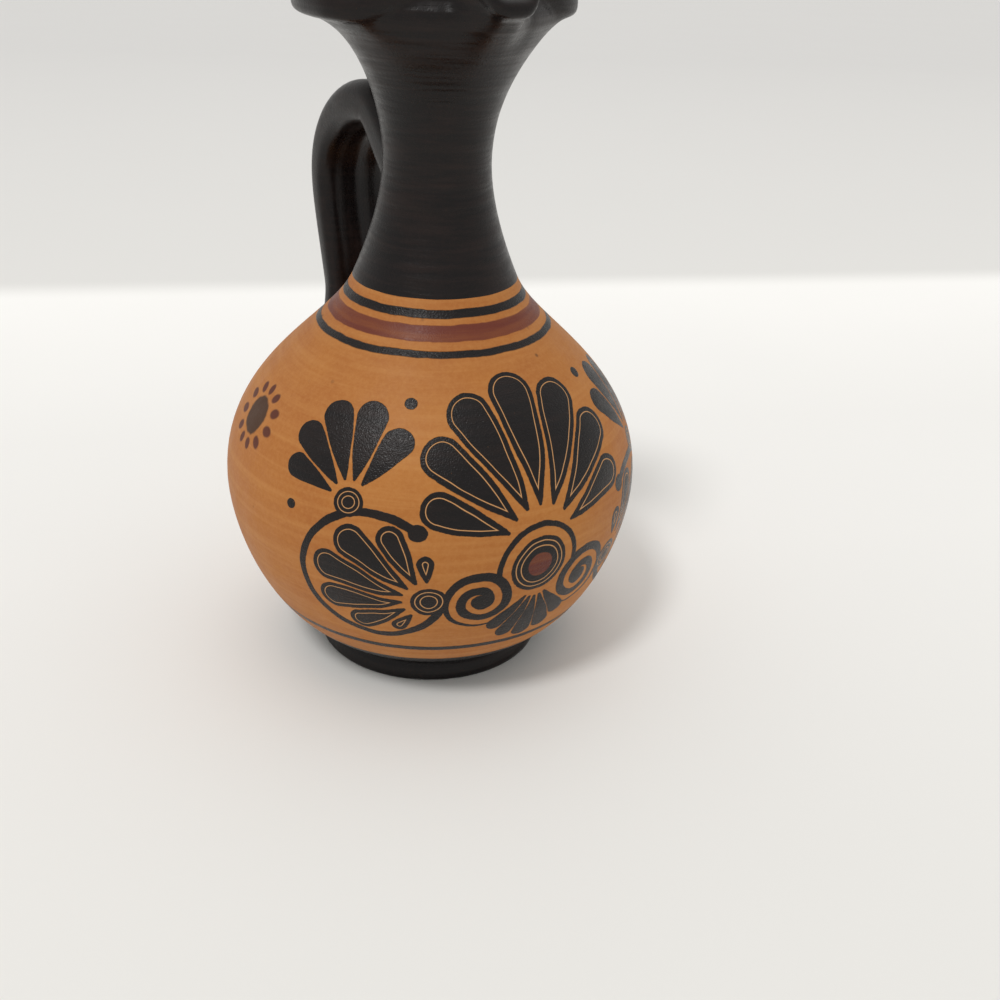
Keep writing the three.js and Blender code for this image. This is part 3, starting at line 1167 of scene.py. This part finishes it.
def lay_table(stage):
    """White table, with the wall behind it painted on the same flat floor; painted shade darkens
    the table on the camera's side, and painted light brightens the table and the wall where they
    meet.
    """
    material, shader, surface = new_material("table_and_wall")
    angle = stage.seam_turn - stage.turn
    beyond = surface.y * cos(angle) - surface.x * sin(angle) - stage.seam / MM
    cloud = surface.noise(0.004, detail=2.0).spread(0.3, 0.7) * 0.1
    # Painted shade: the table darker towards the camera
    near = layered(stage.front_table_shade, (beyond.spread(-330.0, -170.0), stage.table),
                   # Painted light: the table brighter towards the wall
                   (beyond.spread(-110.0, -10.0), stage.far_table_light), (cloud, stage.wall))
    # Painted light: the wall brighter at its foot, fading to its plain tone further back
    far = beyond.spread(0.0, 500.0).mixed(stage.low_wall_light, stage.wall)
    plug(beyond.above(0.0, 9.0).mixed(near, far), shader, "Base Color")
    plug(surface.noise(0.02).spread(0.3, 0.7, 0.7, 0.85), shader, "Roughness")
    bm = bmesh.new()
    bmesh.ops.create_grid(bm, x_segments=8, y_segments=8, size=TABLE_SIZE)
    as_object(bm, "table", material)


def set_light(scene, stage):
    """Pale room and soft lamps."""
    world = bpy.data.worlds.new("studio")
    world.use_nodes = True
    background = world.node_tree.nodes["Background"]
    background.inputs["Color"].default_value = stage.wall
    background.inputs["Strength"].default_value = stage.level
    scene.world = world
    for name, settings in LAMPS.items():
        soft_sun(name, stage, *settings)


def soft_sun(name, stage, turn, height, spread, part):
    """Wide even light, with its share of the light that falls on the table."""
    turn = radians(turn) - stage.turn
    height = radians(height)
    lamp = bpy.data.lights.new(name, "SUN")
    lamp.angle = radians(spread)
    lamp.energy = part * stage.level * pi / sin(height)
    away = Vector((sin(turn) * cos(height), -cos(turn) * cos(height), sin(height)))
    facing = away.to_track_quat("Z", "Y").to_matrix().to_4x4()
    placed(name, lamp).matrix_world = Matrix.Translation(away) @ facing


def place_camera(scene, stage):
    """Camera turned off the spout, looking down and leaning a little."""
    lens = bpy.data.cameras.new("camera")
    lens.lens = LENS
    lens.sensor_width = SENSOR
    lens.clip_start = NEAREST
    camera = placed("camera", lens)
    swing = Matrix.Rotation(-stage.turn, 4, "Z")
    place = Matrix.Translation((stage.aside, -stage.distance, stage.height))
    aim = Matrix.Rotation(pi / 2 - stage.tilt, 4, "X") @ Matrix.Rotation(stage.roll, 4, "Z")
    camera.matrix_world = swing @ place @ aim
    scene.camera = camera
    scene.view_settings.view_transform = "Standard"


class JUG_PT_panel(bpy.types.Panel):
    """Builds the jug piece by piece"""
    bl_idname = "JUG_PT_panel"
    bl_label = "Trefoil Jug"
    bl_space_type = "VIEW_3D"
    bl_region_type = "UI"
    bl_category = "Jug"

    def draw(self, context):
        for operator in OPERATORS:
            self.layout.operator(operator.bl_idname)


GROUPS = {
    "jug_vessel": VesselSizes,
    "jug_mouth": MouthSizes,
    "jug_strap": StrapSizes,
    "jug_colours": SlipColours,
    "jug_rings": RingHeights,
    "jug_stage": StageSettings,
}
OPERATORS = (JUG_OT_foot, JUG_OT_body, JUG_OT_neck, JUG_OT_handle, JUG_OT_stage)
CLASSES = (*GROUPS.values(), *OPERATORS, JUG_PT_panel)


def register():
    """Makes the sizes, the operators and the panel known to Blender."""
    for one in CLASSES:
        bpy.utils.register_class(one)
    for name, group in GROUPS.items():
        setattr(bpy.types.Scene, name, PointerProperty(type=group))


def unregister():
    """Takes them out again."""
    for name in GROUPS:
        delattr(bpy.types.Scene, name)
    for one in reversed(CLASSES):
        bpy.utils.unregister_class(one)


def main():
    """Builds the jug."""
    register()
    bpy.ops.jug.foot()
    bpy.ops.jug.body()
    bpy.ops.jug.neck()
    bpy.ops.jug.handle()
    bpy.ops.jug.stage()


if __name__ == "__main__":
    main()
